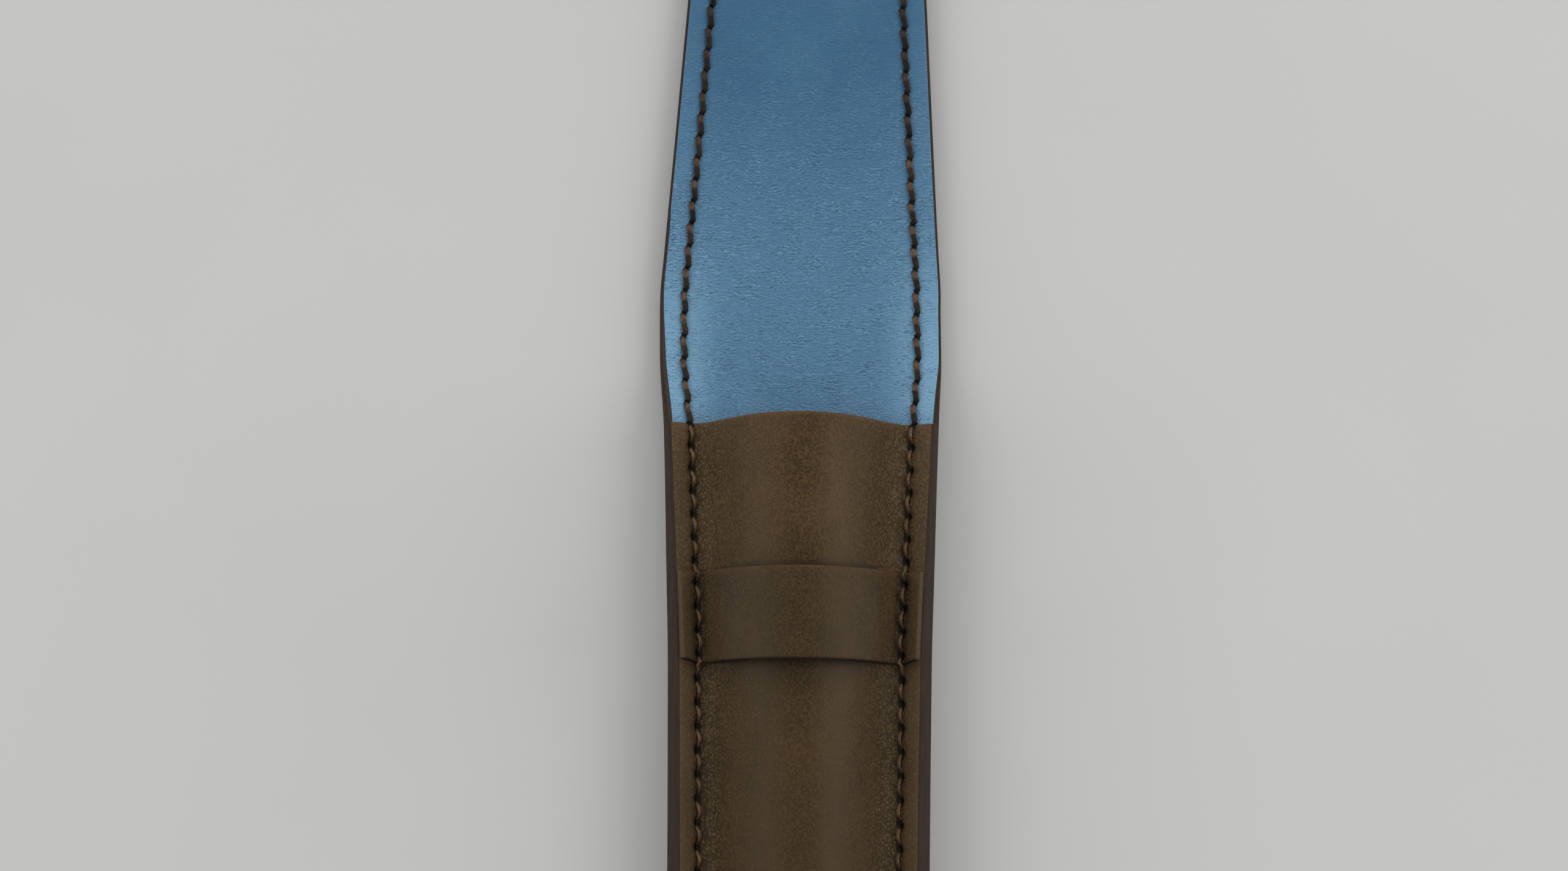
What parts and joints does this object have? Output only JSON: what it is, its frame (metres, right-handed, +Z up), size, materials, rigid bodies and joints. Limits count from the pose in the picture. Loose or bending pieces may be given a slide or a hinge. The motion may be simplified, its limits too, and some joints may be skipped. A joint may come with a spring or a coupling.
{
  "type": "single pen sleeve",
  "caption": "Slim lined leather sleeve for one pen: arched open-topped pocket, keeper band across the front and a tapered flap that folds over the mouth, saddle-stitched round the edge.",
  "frame": {"origin": "on the table under the middle of the length and width, with the flap lying open", "axes": "+Y along the sleeve from the closed toe to the flap's tip, +Z up out of the pocket front, +X across to the right seen from the front"},
  "size_m": [0.042, 0.232, 0.0229],
  "materials": {
    "brown_leather": "smooth, satin, fine grain",
    "blue_lining": "smooth, slightly pearly",
    "thread": "waxed, matte"
  },
  "bodies": {
    "sleeve": {"back_panel": "brown_leather", "back_lining": "blue_lining", "front_pocket": "brown_leather", "keeper_band": "brown_leather", "left_seam_thread": "thread", "right_seam_thread": "thread", "toe_seam_thread": "thread"},
    "crown": {"crown_panel": "brown_leather", "crown_lining": "blue_lining", "crown_left_thread": "thread", "crown_right_thread": "thread"},
    "tongue": {"tongue_panel": "brown_leather", "tongue_lining": "blue_lining", "tongue_left_thread": "thread", "tongue_right_thread": "thread", "tongue_tip_thread": "thread"}
  },
  "joints": [
    {"name": "crown_fold", "type": "hinge", "parent": "sleeve", "child": "crown", "pos_m": [0, 0.0385, 0.00625], "axis": [1, 0, 0], "range_deg": [0, 90]},
    {"name": "tongue_fold", "type": "hinge", "parent": "crown", "child": "tongue", "pos_m": [0, 0.0475, 0.00625], "axis": [1, 0, 0], "range_deg": [0, 83]}
  ]
}
